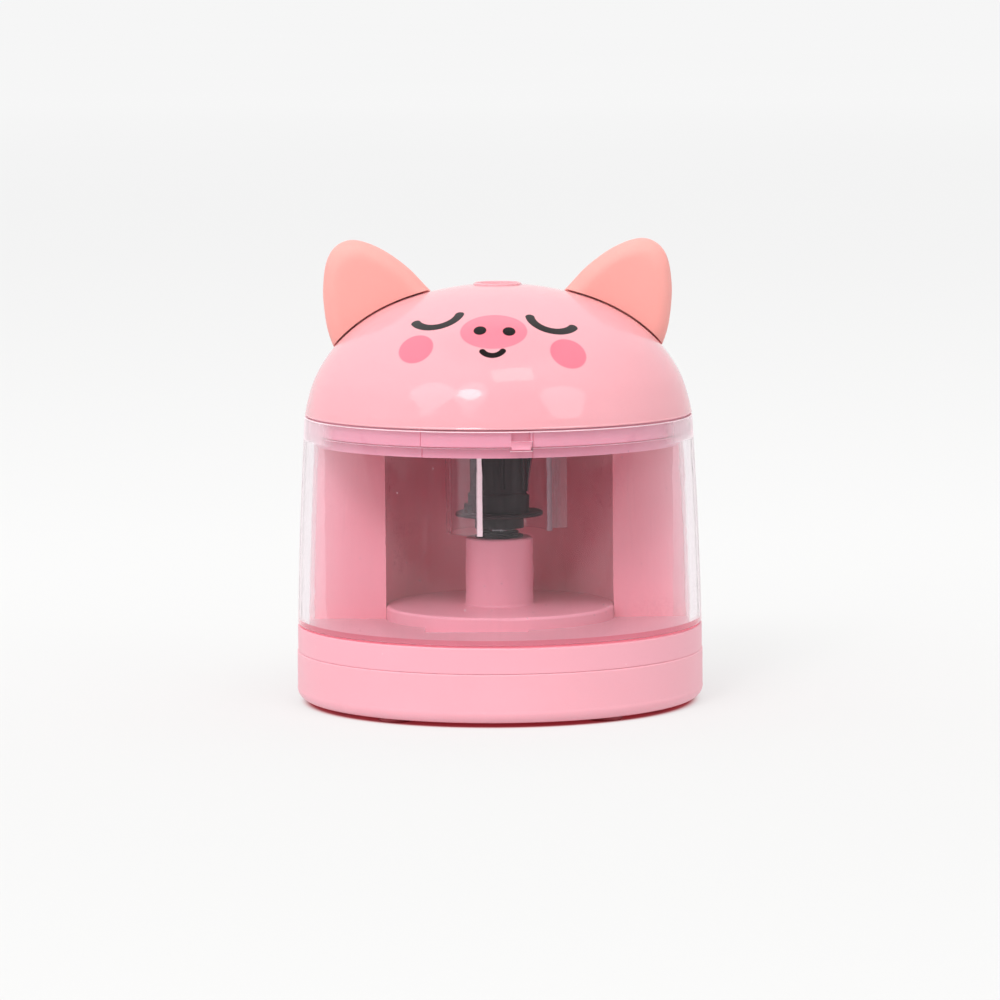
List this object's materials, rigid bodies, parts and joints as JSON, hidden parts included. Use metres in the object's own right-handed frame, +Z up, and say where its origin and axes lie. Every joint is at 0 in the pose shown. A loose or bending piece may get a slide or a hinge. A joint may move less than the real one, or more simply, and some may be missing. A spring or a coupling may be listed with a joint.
{
  "type": "pencil sharpener",
  "caption": "Round battery desktop pencil sharpener shaped as a pig's head, with a clear slide-out shavings tank, a pencil hole in the domed top, ears, motor, gear train and cells.",
  "frame": {"origin": "on the resting surface, under the centre of the body, on the cutter's axis", "axes": "+Z up along the cutter and pencil axis; the clear tank and the face look along -Y; +X to the viewer's right"},
  "size_m": [0.0872, 0.0872, 0.0988],
  "materials": {
    "dome": "glossy moulded pink plastic with a small printed face",
    "ear": "matt coral plastic",
    "guide": "pink plastic",
    "collar": "pink plastic",
    "body": "satin pink plastic",
    "base": "satin pink plastic",
    "clear_tank": "clear moulded plastic",
    "clear_guard": "clear moulded plastic",
    "black_plastic": "black moulded plastic",
    "blade_steel": "ground steel",
    "zinc_steel": "zinc-plated steel",
    "shaft_steel": "ground steel",
    "sintered_bush": "oiled sintered metal",
    "gear_plastic": "natural acetal",
    "plate_plastic": "off-white plastic",
    "motor_steel": "drawn zinc-plated steel",
    "motor_cap": "white nylon",
    "rotor": "laminated steel on a ground shaft",
    "contact_metal": "nickel-plated spring brass",
    "cell": "plain wrapped steel can",
    "foot_rubber": "dark red rubber"
  },
  "bodies": {
    "housing": {"top_dome": "dome", "left_ear": "ear", "right_ear": "ear", "pencil_guide": "guide", "top_collar": "collar", "rear_housing": "body", "base_deck": "base", "base_tray": "base", "cutter_guard": "clear_guard", "base_screws": "zinc_steel", "housing_screws": "zinc_steel", "collar_screws": "zinc_steel", "dome_screws": "zinc_steel", "gearbox_screws": "zinc_steel", "compound_axle": "shaft_steel", "return_spring": "shaft_steel", "upper_bush": "sintered_bush", "lower_bush": "sintered_bush", "gearbox_plate": "plate_plastic", "switch_base": "plate_plastic", "motor_can": "motor_steel", "motor_end_cap": "motor_cap", "motor_terminals": "contact_metal", "switch_fixed_leaf": "contact_metal", "switch_clip": "contact_metal", "positive_contact": "contact_metal", "negative_contact": "contact_metal", "aa_cell_left": "cell", "aa_cell_right": "cell", "rubber_feet": "foot_rubber"},
    "tank": {"shavings_tank": "clear_tank"},
    "battery_cover": {"battery_door": "base", "bridge_contact": "contact_metal"},
    "final_drive": {"final_gear": "gear_plastic"},
    "cutter": {"drive_shaft": "shaft_steel", "cutter_holder": "black_plastic", "cutter_blade": "blade_steel", "blade_screw": "zinc_steel"},
    "compound": {"compound_gear": "gear_plastic"},
    "rotor": {"motor_shaft": "rotor", "motor_pinion": "gear_plastic"},
    "switch_leaf": {"switch_moving_leaf": "contact_metal"}
  },
  "joints": [
    {"name": "tank_slide", "type": "slide", "parent": "housing", "child": "tank", "axis": [0, -1, 0], "range_m": [0, 0.045]},
    {"name": "battery_cover_slide", "type": "slide", "parent": "housing", "child": "battery_cover", "axis": [0, 1, 0], "range_m": [0, 0.022]},
    {"name": "cutter_spin", "type": "hinge", "parent": "housing", "child": "final_drive", "pos_m": [0, 0, 0.0088], "axis": [0, 0, 1], "continuous": true},
    {"name": "cutter_plunge", "type": "slide", "parent": "final_drive", "child": "cutter", "axis": [0, 0, -1], "range_m": [0, 0.0012], "stiffness_N_per_m": 900, "springref_m": -0.002, "deforming": ["return_spring"]},
    {"name": "compound_gear_spin", "type": "hinge", "parent": "housing", "child": "compound", "pos_m": [0.01872, 0.00644, 0.0102], "axis": [0, 0, 1], "continuous": true},
    {"name": "rotor_spin", "type": "hinge", "parent": "housing", "child": "rotor", "pos_m": [0.02914, 0.01549, 0.0106], "axis": [0, 0, 1], "continuous": true},
    {"name": "switch_leaf_bend", "type": "hinge", "parent": "housing", "child": "switch_leaf", "pos_m": [-0.016, 0, 0.0051], "axis": [0, 1, 0], "range_deg": [0, 4.6]}
  ],
  "couplings": [
    {"joint": "compound_gear_spin", "follows": "cutter_spin", "ratio": -4.5},
    {"joint": "rotor_spin", "follows": "cutter_spin", "ratio": 16.2},
    {"joint": "switch_leaf_bend", "follows": "cutter_plunge", "rad_per_m": 65.4}
  ]
}
